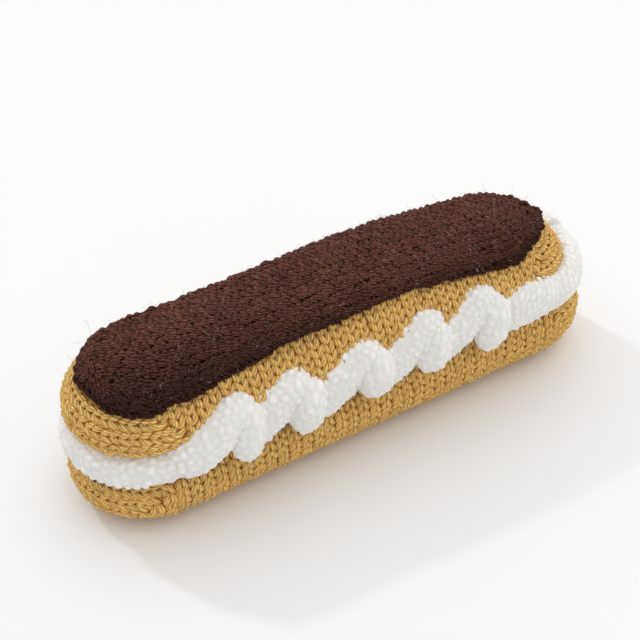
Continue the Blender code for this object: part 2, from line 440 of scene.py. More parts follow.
def side_patch(node, outline, waist, first, last, outward):
    """A patch down or up a bun's side, from rays that fan out from its spine.

    The spine lies at waist, a share of the bun's height. The rays go from the first angle to the last.
    """
    tree = tree_of(node)
    count = int(outline.whole / ROUND_STEP)
    box_low, box_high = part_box(node)
    lines = []
    for index in range(count):
        spine, direction = outline.at(index * outline.whole / count)
        middle = Vector((spine.x, 0, (box_low.z + box_high.z) / 2))
        top = tree.ray_cast(middle, Vector((0, 0, 1)))[0].z
        bottom = tree.ray_cast(middle, Vector((0, 0, -1)))[0].z
        origin = Vector((spine.x, 0, bottom + waist * (top - bottom)))
        line = []
        for angle in np.radians(np.linspace(first, last, FAN_RAYS)):
            line.append(tuple(tree.ray_cast(origin, fanned(direction, angle))[0]))
        lines.append(even_points(line, GRID_STEP))
    depth = min(len(line) for line in lines)
    points = np.stack([line[:depth] for line in lines])
    return Patch(points, outline.whole, GRID_STEP, outward)


class Line:
    """A line on a surface along which stitches are laid."""

    def __init__(self, points, normals):
        self.points = points
        self.run = running(points)
        self.length = self.run[-1]
        along = unit_rows(np.gradient(points, axis=0))
        self.normals = unit_rows(normals - along * (normals * along).sum(1, keepdims=True))
        self.across = np.cross(along, self.normals)

    def read(self, places):
        def blended(rows):
            return np.stack([np.interp(places, self.run, rows[:, axis]) for axis in range(3)], -1)
        return blended(self.points), blended(self.across), blended(self.normals)

    def put(self, along, across, up):
        """Points at distances along, across and above the line. It runs on straight at both ends."""
        inside = np.clip(along, 0, self.length)
        point, side, normal = self.read(inside)
        forward = np.cross(normal, side)
        beyond = (along - inside)[..., None]
        return point + side * across[..., None] + normal * up[..., None] + forward * beyond


def line_on(patch, around, across):
    """A line through corners given in a patch's own distances."""
    corners = np.stack([around, across, np.zeros(len(around))], 1)
    even = even_points(corners, PATH_STEP)
    return Line(*patch.read(even[:, 0], even[:, 1]))


# Loops of yarn

YARN_SIDES = 5


def select_only(piece):
    bpy.ops.object.select_all(action="DESELECT")
    piece.select_set(True)
    bpy.context.view_layer.objects.active = piece


def made_piece(name, mesh, material):
    """A smooth piece of a mesh, with its finish, in the scene."""
    mesh.shade_smooth()
    mesh.materials.append(material)
    piece = bpy.data.objects.new(name, mesh)
    bpy.context.scene.collection.objects.link(piece)
    return piece


def put_values(mesh, label, values):
    """Keeps a number for each of a mesh's points, for its finish to read."""
    attribute = mesh.attributes.new(label, "FLOAT", "POINT")
    attribute.data.foreach_set("value", np.concatenate(values).astype(np.float32))


class Loop:
    """One modelled stitch, as arrays that are laid many times along lines."""

    def __init__(self, piece, radius):
        mesh = piece.data
        self.places = np.array([vertex.co for vertex in mesh.vertices])
        self.corners = np.array([loop.vertex_index for loop in mesh.loops])
        self.totals = np.array([len(polygon.vertices) for polygon in mesh.polygons])
        layer = mesh.uv_layers["yarn"]
        self.uv = np.array([item.vector for item in layer.uv])
        rise = self.places[:, 2]
        self.lift = np.clip((rise + radius * 0.9) / (radius * 2.2), 0, 1)
        bpy.data.objects.remove(piece)


def tube(name, centres, radii):
    """A length of yarn along X: a ring extruded from centre to centre, its ends closed."""
    bpy.ops.object.select_all(action="DESELECT")
    bpy.ops.mesh.primitive_circle_add(vertices=YARN_SIDES, radius=radii[0], fill_type="NGON",
                                      location=centres[0], rotation=(0, -math.pi / 2, 0))
    piece = bpy.context.object
    piece.name = name
    bpy.ops.object.mode_set(mode="EDIT")
    bpy.ops.mesh.select_all(action="SELECT")
    for start, end, before, after in zip(centres, centres[1:], radii, radii[1:]):
        move = Vector(end) - Vector(start)
        bpy.ops.mesh.extrude_region_move(TRANSFORM_OT_translate={"value": move})
        bpy.ops.transform.resize(value=(1, after / before, after / before), center_override=end)
    bpy.ops.mesh.select_all(action="SELECT")
    bpy.ops.mesh.normals_make_consistent(inside=False)
    bpy.ops.object.mode_set(mode="OBJECT")
    bpy.ops.object.transform_apply(location=True, rotation=True, scale=True)
    wind_uv(piece, centres)
    return piece


def wind_uv(piece, centres):
    """A map with the turn round the yarn in U and the distance along it, in metres, in V."""
    mesh = piece.data
    for layer in list(mesh.uv_layers):
        mesh.uv_layers.remove(layer)
    layer = mesh.uv_layers.new(name="yarn")
    line = np.array(centres)
    run = running(line)
    for polygon in mesh.polygons:
        turns = []
        for index in polygon.loop_indices:
            place = mesh.vertices[mesh.loops[index].vertex_index].co
            centre = [np.interp(place.x, line[:, 0], line[:, axis]) for axis in (1, 2)]
            turn = math.atan2(place.z - centre[1], place.y - centre[0]) / (2 * math.pi)
            turns.append(turn % 1.0)
        for index, turn in zip(polygon.loop_indices, turns):
            place = mesh.vertices[mesh.loops[index].vertex_index].co
            if max(turns) - turn > 0.5:
                turn += 1.0
            layer.uv[index].vector = (turn, np.interp(place.x, line[:, 0], run))


def mirrored_pair(piece):
    """The piece and its mirror image across Y in one, wound the same way."""
    select_only(piece)
    bpy.ops.object.duplicate()
    other = bpy.context.object
    for vertex in other.data.vertices:
        vertex.co.y *= -1
    other.data.flip_normals()
    layer = other.data.uv_layers["yarn"]
    for item in layer.uv:
        item.vector.x = 1.0 - item.vector.x
    piece.select_set(True)
    bpy.context.view_layer.objects.active = piece
    bpy.ops.object.join()
    return piece


def knit_loop(width, row, radius):
    """Two legs of a knit stitch, which spread from a point and dive under the next one."""
    shares = (0.0, 0.16, 0.38, 0.62, 0.84, 1.0)
    centres, radii = [], []
    for share in shares:
        swell = math.sin(math.pi * share)
        along = (-0.34 + 1.52 * share) * row
        across = width * (0.075 + 0.33 * share)
        up = radius * (-0.80 + 1.15 * swell ** 0.6)
        centres.append((along, across, up))
        radii.append(radius * (0.66 + 0.34 * swell))
    return Loop(mirrored_pair(tube("leg", centres, radii)), radius)


class Knitting:
    """Gathers laid loops and makes one mesh of them."""

    def __init__(self, seed):
        self.random = np.random.default_rng(seed)
        self.places, self.corners, self.totals, self.uv = [], [], [], []
        self.lift, self.stitch = [], []
        self.count = 0

    def lay(self, loop, line, row, depth, keep=None, unruly=0.00012):
        """Loops one after another along a line, at a depth below the surface."""
        number = max(1, round(line.length / row))
        stretch = line.length / (number * row)
        starts = np.arange(number) * row * stretch
        if keep is not None:
            starts = starts[keep(starts + row / 2)]
        if len(starts) == 0:
            return
        wobble = self.random.normal(0, unruly, (len(starts), 3))
        thick = self.random.normal(1.0, 0.05, len(starts))
        along = starts[:, None] + loop.places[None, :, 0] * stretch + wobble[:, :1]
        across = loop.places[None, :, 1] * thick[:, None] + wobble[:, 1:2]
        up = loop.places[None, :, 2] * thick[:, None] + wobble[:, 2:] - depth
        self.add(loop, line.put(along, across, up))

    def add(self, loop, places):
        number, size = places.shape[:2]
        offsets = self.count + np.arange(number) * size
        self.places.append(places.reshape(-1, 3))
        self.corners.append((loop.corners[None] + offsets[:, None]).ravel())
        self.totals.append(np.tile(loop.totals, number))
        shift = self.random.random((number, 1, 2)) * (1.0, 0.002)
        self.uv.append((loop.uv[None] + shift).reshape(-1, 2))
        self.lift.append(np.tile(loop.lift, number))
        self.stitch.append(np.repeat(self.random.random(number), size))
        self.count += number * size

    def mesh(self, name, material):
        """One piece of all the loops."""
        mesh = bpy.data.meshes.new(name)
        places = np.concatenate(self.places)
        places[:, 2] = np.maximum(places[:, 2], FLOOR_CLEAR)
        corners = np.concatenate(self.corners)
        totals = np.concatenate(self.totals)
        mesh.vertices.add(len(places))
        mesh.vertices.foreach_set("co", places.astype(np.float32).ravel())
        mesh.loops.add(len(corners))
        mesh.loops.foreach_set("vertex_index", corners.astype(np.int32))
        mesh.polygons.add(len(totals))
        mesh.polygons.foreach_set("loop_start", (np.cumsum(totals) - totals).astype(np.int32))
        mesh.update(calc_edges=True)
        layer = mesh.uv_layers.new(name="yarn")
        layer.uv.foreach_set("vector", np.concatenate(self.uv).astype(np.float32).ravel())
        for label, values in (("lift", self.lift), ("stitch", self.stitch)):
            put_values(mesh, label, values)
        mesh.validate()
        return made_piece(name, mesh, material)


# Pads

ICING_CORE = 0.0010             # how far below the icing's surface its core lies


def made_pad(node, name, depth, material):
    """A copy of a solid, drawn in by a depth: the stuffed core behind the stitches."""
    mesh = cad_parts[node].data.copy()
    mesh.name = name
    mesh.materials.clear()
    pad = made_piece(name, mesh, material)
    select_only(pad)
    bpy.ops.object.mode_set(mode="EDIT")
    bpy.ops.mesh.select_all(action="SELECT")
    bpy.ops.mesh.remove_doubles(threshold=0.000001)
    bpy.ops.transform.shrink_fatten(value=-depth)
    bpy.ops.object.mode_set(mode="OBJECT")
    return pad


def ride_as(piece, pad=None):
    """Ties a piece to the toy. What lies on another piece also belongs to it."""
    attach(piece, BODY)
    if pad:
        piece.parent = bpy.data.objects[pad]
    return piece


class MakePads(bpy.types.Operator):
    """Makes the stuffed cores of the two buns and of the icing"""
    bl_idname = "eclair.make_pads"
    bl_label = "Make the cores"

    def execute(self, context):
        sizes = context.scene.eclair_sizes
        colours = context.scene.eclair_colours
        # The cores show in the gaps between the stitches and take the painted shade colours, darker than
        # the wool.
        golden = core_finish("golden_core_shade", colours.golden_painted_shade)
        brown = core_finish("brown_core_shade", colours.brown_painted_shade)
        for node, depth, material, slot in (("bun_bottom", sizes.core, golden, "golden_wool"),
                                            ("bun_top", sizes.core, golden, "golden_wool"),
                                            ("icing", ICING_CORE, brown, "brown_wool")):
            pad = ride_as(made_pad(node, node + "_core", depth, material))
            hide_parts(node)
        return {"FINISHED"}


# Buns

FLAT_HALF = 0.0125              # half the width of the flat base's knitting
ROW_ROOM = 0.0020               # least room left above a row round an end
TUCKED = 0.0045                 # how far the upper bun's columns run on under the icing
COVER_START = 0.0005            # below the surface, where the search for a cover starts
COVER_REACH = 0.0040            # and how far out it goes


def round_end_line(patch, centre, leg, level, top, side):
    """Down one long side, round an end and up the other side, in a patch's distances."""
    turn = min(leg, CORNER_ROUND, top - level)
    around, across = [-leg, -leg], [top, level + turn]
    for angle in np.radians(np.arange(0, 91, 10)):
        around.append(-leg + turn * (1 - math.cos(angle)))
        across.append(level + turn * (1 - math.sin(angle)))
    around = np.array(around + [-value for value in reversed(around)])
    across = np.array(across + list(reversed(across)))
    return line_on(patch, centre + side * around, across)


def bun_lines(patch, outline, width, reach, braids):
    """The columns of a bun: up its long sides, and round its two ends."""
    top = (patch.points.shape[1] - 1.01) * patch.step
    lines = []
    turn = outline.arc / 2 + reach
    for centre, side in ((outline.whole / 2, 1), (0.0, -1)):
        for braid in range(braids):
            level = (braid + 0.5) * width
            if level < top - ROW_ROOM:
                lines.append(round_end_line(patch, centre, turn - level, level, top, side))
    room = outline.whole / 2 - 2 * turn
    number = round(room / width)
    for index in range(number):
        place = turn + (index + 0.5) * room / number
        lines.append(line_on(patch, np.full(2, place), np.array([top, 0.0])))
        lines.append(line_on(patch, np.full(2, outline.whole - place), np.array([0.0, top])))
    return lines


def uncovered(line, cover, margin):
    """Tells which places of a line aren't deep under a cover."""
    hidden = []
    for point, normal in zip(line.points, line.normals):
        start = Vector(point) + Vector(normal) * -COVER_START
        hidden.append(cover.ray_cast(start, Vector(normal), COVER_REACH)[0] is not None)
    hidden = np.array(hidden)
    near = int(margin / PATH_STEP)
    shown = np.convolve(~hidden, np.ones(2 * near + 1), mode="same") > 0.5

    def keep(places):
        return shown[np.clip(np.searchsorted(line.run, places), 0, len(shown) - 1)]
    return keep


def base_lines(node, width, flat_half):
    """Columns straight across a bun's flat base."""
    low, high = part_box(node)
    reach = (high.x - low.x) / 2 - ((high.y - low.y) / 2 - flat_half)
    number = int(2 * reach / width)
    lines = []
    for index in range(number):
        x = (index - (number - 1) / 2) * width
        beyond = max(0.0, abs(x) - (reach - flat_half))
        half = math.sqrt(max(0.0, flat_half ** 2 - beyond ** 2))
        if half < width:
            continue
        places = np.linspace(-half, half, max(4, int(2 * half / PATH_STEP)))
        points = np.stack([np.full(len(places), x), places, np.zeros(len(places))], 1)
        normals = np.tile((0.0, 0.0, -1.0), (len(places), 1))
        lines.append(Line(points, normals))
    return lines


class MakeBunCovers(bpy.types.Operator):
    """Knits the golden covers of the two buns"""
    bl_idname = "eclair.make_bun_covers"
    bl_label = "Knit the buns"

    def execute(self, context):
        sizes = context.scene.eclair_sizes
        colours = context.scene.eclair_colours
        wool = yarn_finish("golden_wool", colours.golden, colours.golden_painted_shade)
        width, row = sizes.stitch_width, sizes.stitch_row
        loop = knit_loop(width, row, sizes.yarn)

        outline = Outline("bun_bottom")
        patch = side_patch("bun_bottom", outline, waist=0.6, first=42, last=-44, outward=-1)
        sides = Knitting(seed=11)
        for line in bun_lines(patch, outline, width, sizes.end_reach, braids=9):
            sides.lay(loop, line, row, sizes.sink)
        ride_as(sides.mesh("bun_bottom_knit", wool), "bun_bottom_core")

        base = Knitting(seed=12)
        for line in base_lines("bun_bottom", width, FLAT_HALF):
            base.lay(loop, line, row, sizes.sink)
        ride_as(base.mesh("bun_bottom_base_knit", wool), "bun_bottom_core")

        outline = Outline("bun_top")
        patch = side_patch("bun_top", outline, waist=0.25, first=-12, last=75, outward=1)
        cover = tree_of("icing")
        upper = Knitting(seed=13)
        for line in bun_lines(patch, outline, width, sizes.end_reach, braids=6):
            upper.lay(loop, line, row, sizes.sink, keep=uncovered(line, cover, TUCKED))
        ride_as(upper.mesh("bun_top_knit", wool), "bun_top_core")
        return {"FINISHED"}


# Icing

ICING_STEP = 0.0012             # between the sections that its columns are found on
ICING_END = 0.0010              # the last section lies this far before its end
ICING_POINTS = 90               # cast across a section
HALF_COLUMNS = 12               # at most, on each side of the middle one
HALF_ROOM = 0.45                # of a column's width, the least from its middle to the edge
EDGE_BASE = 0.0040              # the rays' spine above the foot of the upper bun
EDGE_NEAR = 0.0050              # a ray's hit this near to the spine doesn't count
EDGE_ROWS = ((0.0004, 0.0012), (0.0024, 0.0009), (0.0044, 0.0008))    # each row's inset and depth
ICING_SINK = 0.0007             # how far below the surface the middle of the brown yarn lies
# The icing's painted shade on its near side runs between these two depths below its top.
ICING_PAINTED_SHADE = (0.0100, 0.0030)   # below the top, where the colour is darkest and where it starts to fade


def icing_section(tree, x, low, high):
    """Points across the icing's upper face at one place along it."""
    line = []
    for y in np.linspace(low, high, ICING_POINTS):
        hit = tree.ray_cast(Vector((x, y, 1.0)), Vector((0, 0, -1)))[0]
        if hit is not None:
            line.append(tuple(hit))
    return np.array(line)


def icing_lines(width):
    """Columns along the icing, evenly spaced over its curve from its middle line."""
    low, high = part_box("icing")
    tree = tree_of("icing")
    columns = {}
    for x in np.arange(low.x + ICING_STEP, high.x - ICING_END, ICING_STEP):
        points = icing_section(tree, x, low.y, high.y)
        if len(points) < 4:
            continue
        run = running(points)
        run -= np.interp(0.0, points[:, 1], run)
        for column in range(-HALF_COLUMNS, HALF_COLUMNS + 1):
            place = column * width
            if run[0] + HALF_ROOM * width <= place <= run[-1] - HALF_ROOM * width:
                point = [np.interp(place, run, points[:, axis]) for axis in range(3)]
                columns.setdefault(column, []).append(point)
    return [Line(*on_top(tree, np.array(points))) for points in columns.values() if len(points) > 4]


def smoothed(rows, times):
    for _ in range(times):
        rows[1:-1] = 0.25 * rows[:-2] + 0.5 * rows[1:-1] + 0.25 * rows[2:]
    return rows


def on_top(tree, points):
    """A line's points, smoothed and evenly spaced, and the face's normals there."""
    points = even_points(smoothed(points, 3), PATH_STEP * 2)
    normals = np.array([tuple(tree.find_nearest(Vector(point))[1]) for point in points])
    return points, unit_rows(smoothed(normals, 6))


def edge_line(outline, inset):
    """A line round the icing, a given distance in from where rays from the bun's spine first meet it."""
    tree = tree_of("icing")
    count = int(outline.whole / ROUND_STEP)
    points, normals = [], []
    for index in range(count + 1):
        spine, direction = outline.at(index * outline.whole / count)
        base = Vector((spine.x, 0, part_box("bun_top")[0].z + EDGE_BASE))
        for angle in np.radians(np.arange(20, 88, 0.5)):
            aim = fanned(direction, angle)
            hit = tree.ray_cast(base + aim * RAY_START, -aim)[0]
            if hit is not None and (hit - base).dot(aim) > EDGE_NEAR:
                aim = fanned(direction, angle + inset / (hit - base).length)
                points.append(tuple(tree.ray_cast(base + aim * RAY_START, -aim)[0]))
                normals.append(tuple(aim))
                break
    return Line(np.array(points), unit_rows(np.array(normals)))


class MakeIcingCover(bpy.types.Operator):
    """Knits the brown icing and its rolled edge"""
    bl_idname = "eclair.make_icing_cover"
    bl_label = "Knit the icing"

    def execute(self, context):
        sizes = context.scene.eclair_sizes
        colours = context.scene.eclair_colours
        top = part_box("icing")[1].z
        # The brown wool gets painted shade between its plies, where its loops dive and towards the icing's
        # rim on the near side.
        wool = yarn_finish("brown_wool", colours.brown, colours.brown_painted_shade, plies=4.0, pitch=0.0016,
                           relief=0.22, sheen=0.0, grain=1.5, vary=0.36,
                           edge=[top - depth for depth in ICING_PAINTED_SHADE])
        loop = knit_loop(sizes.icing_width, sizes.icing_row, sizes.icing_yarn)
        cover = Knitting(seed=21)
        for line in icing_lines(sizes.icing_width):
            cover.lay(loop, line, sizes.icing_row, ICING_SINK, unruly=0.00016)
        ride_as(cover.mesh("icing_knit", wool), "icing_core")

        edge = Knitting(seed=22)
        for inset, depth in EDGE_ROWS:
            line = edge_line(Outline("bun_top"), inset)
            edge.lay(loop, line, sizes.icing_row, depth, unruly=0.00025)
        ride_as(edge.mesh("icing_edge", wool), "icing_core")
        return {"FINISHED"}


# Cream

LOBES = (
    # where its front stroke lies, how wide that is, its foot's and its cap's height, the cap's lean
    (-0.0445, 0.0042, 0.0008, 0.0213, 0.0004),
    (-0.0265, 0.0048, 0.0006, 0.0199, 0.0000),
    (-0.0048, 0.0057, 0.0026, 0.0200, 0.0004),
    (0.0145, 0.0055, 0.0024, 0.0208, 0.0014),
    (0.0350, 0.0050, 0.0006, 0.0208, -0.0004),
)
FAR_SHIFT = 0.0050              # the far side's lobes sit this much further along
RISE_WIDE = (0.0092, 0.0056)    # the rising stroke's half width where it starts and ends
FIRST_RISE = 0.0078             # the first one's where it starts
FALL_WIDE = 0.0043              # the front stroke's half width at its top
LOBE_DEEP = 0.0045              # half thickness of both strokes
BAND_DEPTH = 0.0046             # from the lower bun's outline in to the middle of the strip
BAND_DEEP = 0.0047
BAND_WIDE = 0.0054
BAND_HEIGHT = 0.0060            # its middle above the seam, at the -X end
BAND_RISE = 0.0034              # how much higher that is beside the last lobe, where the strip is fuller
BAND_SWELL = 0.0022             # how much wider it is there, to each side
BAND_OUT = 0.0026               # and how much further out
END_INSET = 0.0030              # how much further in it lies round the +X end
BAND_INSET = 0.0052             # how far the strip draws in behind the lobes
RUFFLED = (-0.0560, 0.0400)     # where along the sides it does so
FULLER = (0.030, 0.046)         # where it gets fuller
THINNER = (0.050, 0.074)        # and thinner again
SEAM_MIDDLE = 0.0184            # height of the lower bun's top in the middle
SEAM_RISE = 0.0064              # how much it rises over the length below
SEAM_LONG = 0.17
STRIP_STEP = 0.0005             # between the rings of the strip and round them
MOST_BUMPS = 64                 # in one row round a stroke
FILLING_LONG = 0.93             # the filling's share of the cream solid's length and width
FILLING_BROAD = 0.74


def seam(x):
    """Height of the lower bun's top."""
    return SEAM_MIDDLE + SEAM_RISE * x / SEAM_LONG


def smooth_step(value, low, high):
    share = np.clip((value - low) / (high - low), 0, 1)
    return share * share * (3 - 2 * share)


def oval_rings(line, outward, across, deep, wide):
    """Closed rings round a line, as deep and wide as given at each of its points."""
    sides = int(math.pi * (np.max(deep) + np.max(wide)) / STRIP_STEP)
    angles = np.linspace(-math.pi, math.pi, sides + 1)
    return (line[:, None] + outward[:, None] * deep[:, None, None] * np.cos(angles)[None, :, None]
            + across[:, None] * wide[:, None, None] * np.sin(angles)[None, :, None])


def band_rings():
    """Rings of the plain strip, all the way round between the buns."""
    outline = Outline("bun_bottom")
    line, outward, wide = [], [], []
    for run in np.arange(0, outline.whole, STRIP_STEP):
        spine, direction = outline.at(run)
        place = spine.x - (FAR_SHIFT if direction.y > 0 else 0.0)
        behind = smooth_step(place, RUFFLED[0] - 0.004, RUFFLED[0] + 0.006)
        behind *= 1 - smooth_step(place, RUFFLED[1] - 0.010, RUFFLED[1] + 0.006)
        behind *= abs(direction.y)
        full = smooth_step(place, *FULLER) * (1 - smooth_step(place, *THINNER))
        inward = BAND_DEPTH + BAND_INSET * behind + END_INSET * max(0.0, direction.x)
        point = spine + direction * (outline.half - inward + BAND_OUT * full * abs(direction.y))
        line.append((point.x, point.y, seam(point.x) + BAND_HEIGHT + BAND_RISE * full))
        outward.append(tuple(direction))
        wide.append(BAND_WIDE + BAND_SWELL * full)
    line, outward = np.array(line), np.array(outward)
    up = np.tile((0.0, 0.0, 1.0), (len(line), 1))
    return oval_rings(line, outward, up, np.full(len(line), BAND_DEEP), np.array(wide))


def stroke_rings(bends, side, deep, wide_start, wide_end):
    """Rings of one stroke of the ruffle: a plump bent length with rounded ends."""
    first, bend, last = (np.array(point) for point in bends)
    control = 2 * bend - 0.5 * (first + last)
    length = np.linalg.norm(last - first)
    reach = math.pi / 2 - 0.06
    shares = 0.5 + 0.5 * np.sin(np.linspace(-reach, reach, int(length * 1.3 / STRIP_STEP)))
    line = (np.outer((1 - shares) ** 2, first) + np.outer(2 * shares * (1 - shares), control)
            + np.outer(shares ** 2, last))
    along = unit_rows(np.gradient(line, axis=0))
    outward = np.tile((0.0, side, 0.0), (len(line), 1))
    outward = unit_rows(outward - along * (outward * along).sum(1, keepdims=True))
    across = np.cross(outward, along)
    wide = wide_start + (wide_end - wide_start) * shares
    cap = np.minimum(1, np.minimum(shares, 1 - shares) * length / wide)
    swell = np.sqrt(1 - (1 - cap) ** 2)
    return oval_rings(line, outward, across, deep * swell, wide * swell)


def lobe_strokes(side):
    """The rising and the front stroke of each lobe on one long side."""
    half = Outline("bun_bottom").half
    strokes = []
    for number, (front, wide, foot, cap, lean) in enumerate(LOBES):
        def corner(along, height, out):
            x = front + along + (FAR_SHIFT if side > 0 else 0.0)
            return x, side * (half + out), seam(x) + height
        tuck = -0.0052 if number else -0.0036
        lower = cap - (0.0030 if side > 0 else 0.0)
        low = (corner(-0.0200, 0.0016, tuck - 0.0004) if number
               else corner(-0.0190, 0.0040, tuck - 0.0010))
        rise = (low, corner(-0.0090 + 0.5 * lean, 0.0106, tuck + 0.0026),
                corner(0.0038 + lean, lower - 0.0024, -0.0030))
        fall = (corner(0.0036 + 0.5 * lean, lower - 0.0056, -0.0036), corner(0.0016, 0.0112, 0.0008),
                corner(0.0006, foot, -0.0002))
        start = RISE_WIDE[0] if number else FIRST_RISE
        strokes.append(stroke_rings(rise, side, LOBE_DEEP, start, RISE_WIDE[1]))
        strokes.append(stroke_rings(fall, side, LOBE_DEEP, FALL_WIDE, wide))
    return strokes


def bumped(rings, width, row, height, random, looped=False):
    """The rings with rows of soft knitted bumps across them, and how high each point stands, 0 to 1."""
    middles = rings[:, :-1].mean(1)
    run = running(middles)
    rows = run / row * (round(run[-1] / row) / (run[-1] / row))
    turn = np.concatenate((np.zeros((len(rings), 1)),
                           np.cumsum(np.linalg.norm(np.diff(rings, axis=1), axis=2), axis=1)), 1)
    columns = (turn - turn[:, [rings.shape[1] // 2]]) / width
    rows = np.tile(rows[:, None], (1, rings.shape[1]))
    phase = random.uniform(0, 2 * math.pi, 4)
    fade = np.abs(np.sin(math.pi * rows / rows.max())) ** 0.5 if looped else 1.0
    stray = 0.22 * np.sin(1.7 * columns + phase[0]) + 0.16 * np.sin(0.9 * rows + 2.6 * columns + phase[1])
    columns = (columns + 0.20 * np.sin(1.3 * rows + phase[2])
               + 0.14 * np.sin(2.3 * rows + 1.1 * columns + phase[3]))
    rows = np.clip(rows + stray * fade, 0, None)
    which = np.floor(rows).astype(int)
    columns = columns + 0.5 * (which % 2) + random.uniform(-0.2, 0.2, which.max() + 1)[which]
    whole = np.floor(columns).astype(int)
    tall = random.uniform(0.35, 1.2, (which.max() + 1, MOST_BUMPS))[which, whole % MOST_BUMPS]
    across = 1 - np.abs(2 * (columns - whole) - 1) ** 2.2
    lengthways = 1 - np.abs(2 * (rows - which) - 1) ** 2.2
    dome = np.clip(across * lengthways, 0, 1) ** 0.8 * tall
    dome[:, -1] = dome[:, 0] = 0.5 * (dome[:, 0] + dome[:, -1])
    forward = np.roll(rings, -1, 0) - np.roll(rings, 1, 0) if looped else np.gradient(rings, axis=0)
    inner = rings[:, :-1]
    around = np.roll(inner, -1, 1) - np.roll(inner, 1, 1)
    around = np.concatenate((around, around[:, :1]), 1)
    normals = unit_rows(np.cross(around, forward))
    outside = ((rings - middles[:, None]) * normals).sum(-1, keepdims=True)
    return rings + normals * np.sign(outside) * (dome * height)[..., None], dome


def ring_body(name, bodies, material):
    """One piece of several closed bodies. Each is rings with a height, and closes in a loop or in caps."""
    places, faces, lifts = [], [], []
    size = 0
    for rings, lift, looped in bodies:
        count, sides = rings.shape[0], rings.shape[1] - 1
        places.append(rings[:, :-1].reshape(-1, 3))
        lifts.append(lift[:, :-1].ravel())
        first = np.arange(count if looped else count - 1)[:, None] * sides
        second = (first + sides) % (count * sides)
        left = np.arange(sides)[None]
        right = (left + 1) % sides
        quads = np.stack([first + left, second + left, second + right, first + right], -1) + size
        faces += quads.reshape(-1, 4).tolist()
        if not looped:
            faces.append([size + index for index in reversed(range(sides))])
            faces.append([size + (count - 1) * sides + index for index in range(sides)])
        size += count * sides
    mesh = bpy.data.meshes.new(name)
    mesh.from_pydata(np.concatenate(places).tolist(), [], faces)
    put_values(mesh, "lift", lifts)
    piece = made_piece(name, mesh, material)
    select_only(piece)
    bpy.ops.object.mode_set(mode="EDIT")
    bpy.ops.mesh.select_all(action="SELECT")
    bpy.ops.mesh.normals_make_consistent(inside=False)
    bpy.ops.object.mode_set(mode="OBJECT")
    return piece


class MakeCream(bpy.types.Operator):
    """Makes the white strip with its lobes and its bumpy knitting"""
    bl_idname = "eclair.make_cream"
    bl_label = "Make the cream strip"

    def execute(self, context):
        sizes = context.scene.eclair_sizes
        colours = context.scene.eclair_colours
        # The filling inside the strip takes the white painted shade, darker than the wool.
        core = core_finish("white_core_shade", colours.white_painted_shade)
        wool = cream_finish("white_wool", colours.white, colours.white_painted_shade)
        filler = made_pad("cream", "cream_filling", 0.0, core)
        for vertex in filler.data.vertices:
            vertex.co.x *= FILLING_LONG
            vertex.co.y *= FILLING_BROAD
        ride_as(filler)
        random = np.random.default_rng(31)
        size = (sizes.bump_width, sizes.bump_row, sizes.bump_height, random)
        pieces = [("cream_strip", [(*bumped(band_rings(), *size, looped=True), True)])]
        for name, side in (("cream_near_lobes", -1), ("cream_far_lobes", 1)):
            pieces.append((name, [(*bumped(rings, *size), False) for rings in lobe_strokes(side)]))
        for name, bodies in pieces:
            piece = ride_as(ring_body(name, bodies, wool))
            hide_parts("cream")
        return {"FINISHED"}


# Fuzz

ROOT_SINK = 0.0002              # how deep in the yarn a fibre starts
FUZZ = (
    # a piece, the piece it grows on, its number of fibres, their length, radius, finish and slot
    ("bun_bottom_fuzz", "bun_bottom_knit", 6100, 0.0021, 0.000028, "golden_fuzz", "golden_wool"),
    ("bun_top_fuzz", "bun_top_knit", 5200, 0.0021, 0.000028, "golden_fuzz", "golden_wool"),
    ("icing_fuzz", "icing_knit", 6100, 0.0025, 0.000028, "brown_fuzz", "brown_wool"),
    ("icing_strays", "icing_knit", 170, 0.0046, 0.000040, "stray_fuzz", "brown_wool"),
    ("icing_edge_strays", "icing_edge", 130, 0.0046, 0.000040, "stray_fuzz", "brown_wool"),
    ("cream_fuzz", "cream_strip", 3600, 0.0016, 0.000020, "white_fuzz", "white_wool"),
    ("near_lobe_fuzz", "cream_near_lobes", 2400, 0.0016, 0.000020, "white_fuzz", "white_wool"),
    ("far_lobe_fuzz", "cream_far_lobes", 2400, 0.0016, 0.000020, "white_fuzz", "white_wool"),
)


def hair_arrays(random, roots, normals, length, radius):
    """Thin three-sided fibres that lean over and curl back to the wool."""
    number, steps = len(roots), 5
    size = length * random.uniform(0.4, 1.3, (number, 1))
    flat = random.normal(0, 1, (number, 3))
    flat = unit_rows(flat - normals * (flat * normals).sum(1, keepdims=True))
    side = np.cross(normals, flat)
    rise = random.uniform(0.25, 0.75, (number, 1))
    drift = random.normal(0, 0.5, (number, 1))
    places = []
    for share in np.linspace(0, 1, steps + 1):
        up = rise * math.sin(math.pi * 0.75 * share)
        places.append(roots + size * (flat * share * 0.8 + normals * up + side * drift * share ** 2))
    line = np.stack(places, 1)
    line[:, 1:-1] += random.normal(0, 0.06, (number, steps - 1, 3)) * size[:, None]
    along = unit_rows(np.gradient(line, axis=1))
    edge = unit_rows(np.cross(along, np.array((0.31, 0.17, 0.93))))
    other = np.cross(along, edge)
    rings = []
    for turn in range(3):
        angle = 2 * math.pi * turn / 3
        rings.append(line + radius * (edge * math.cos(angle) + other * math.sin(angle)))
    return np.stack(rings, 2)


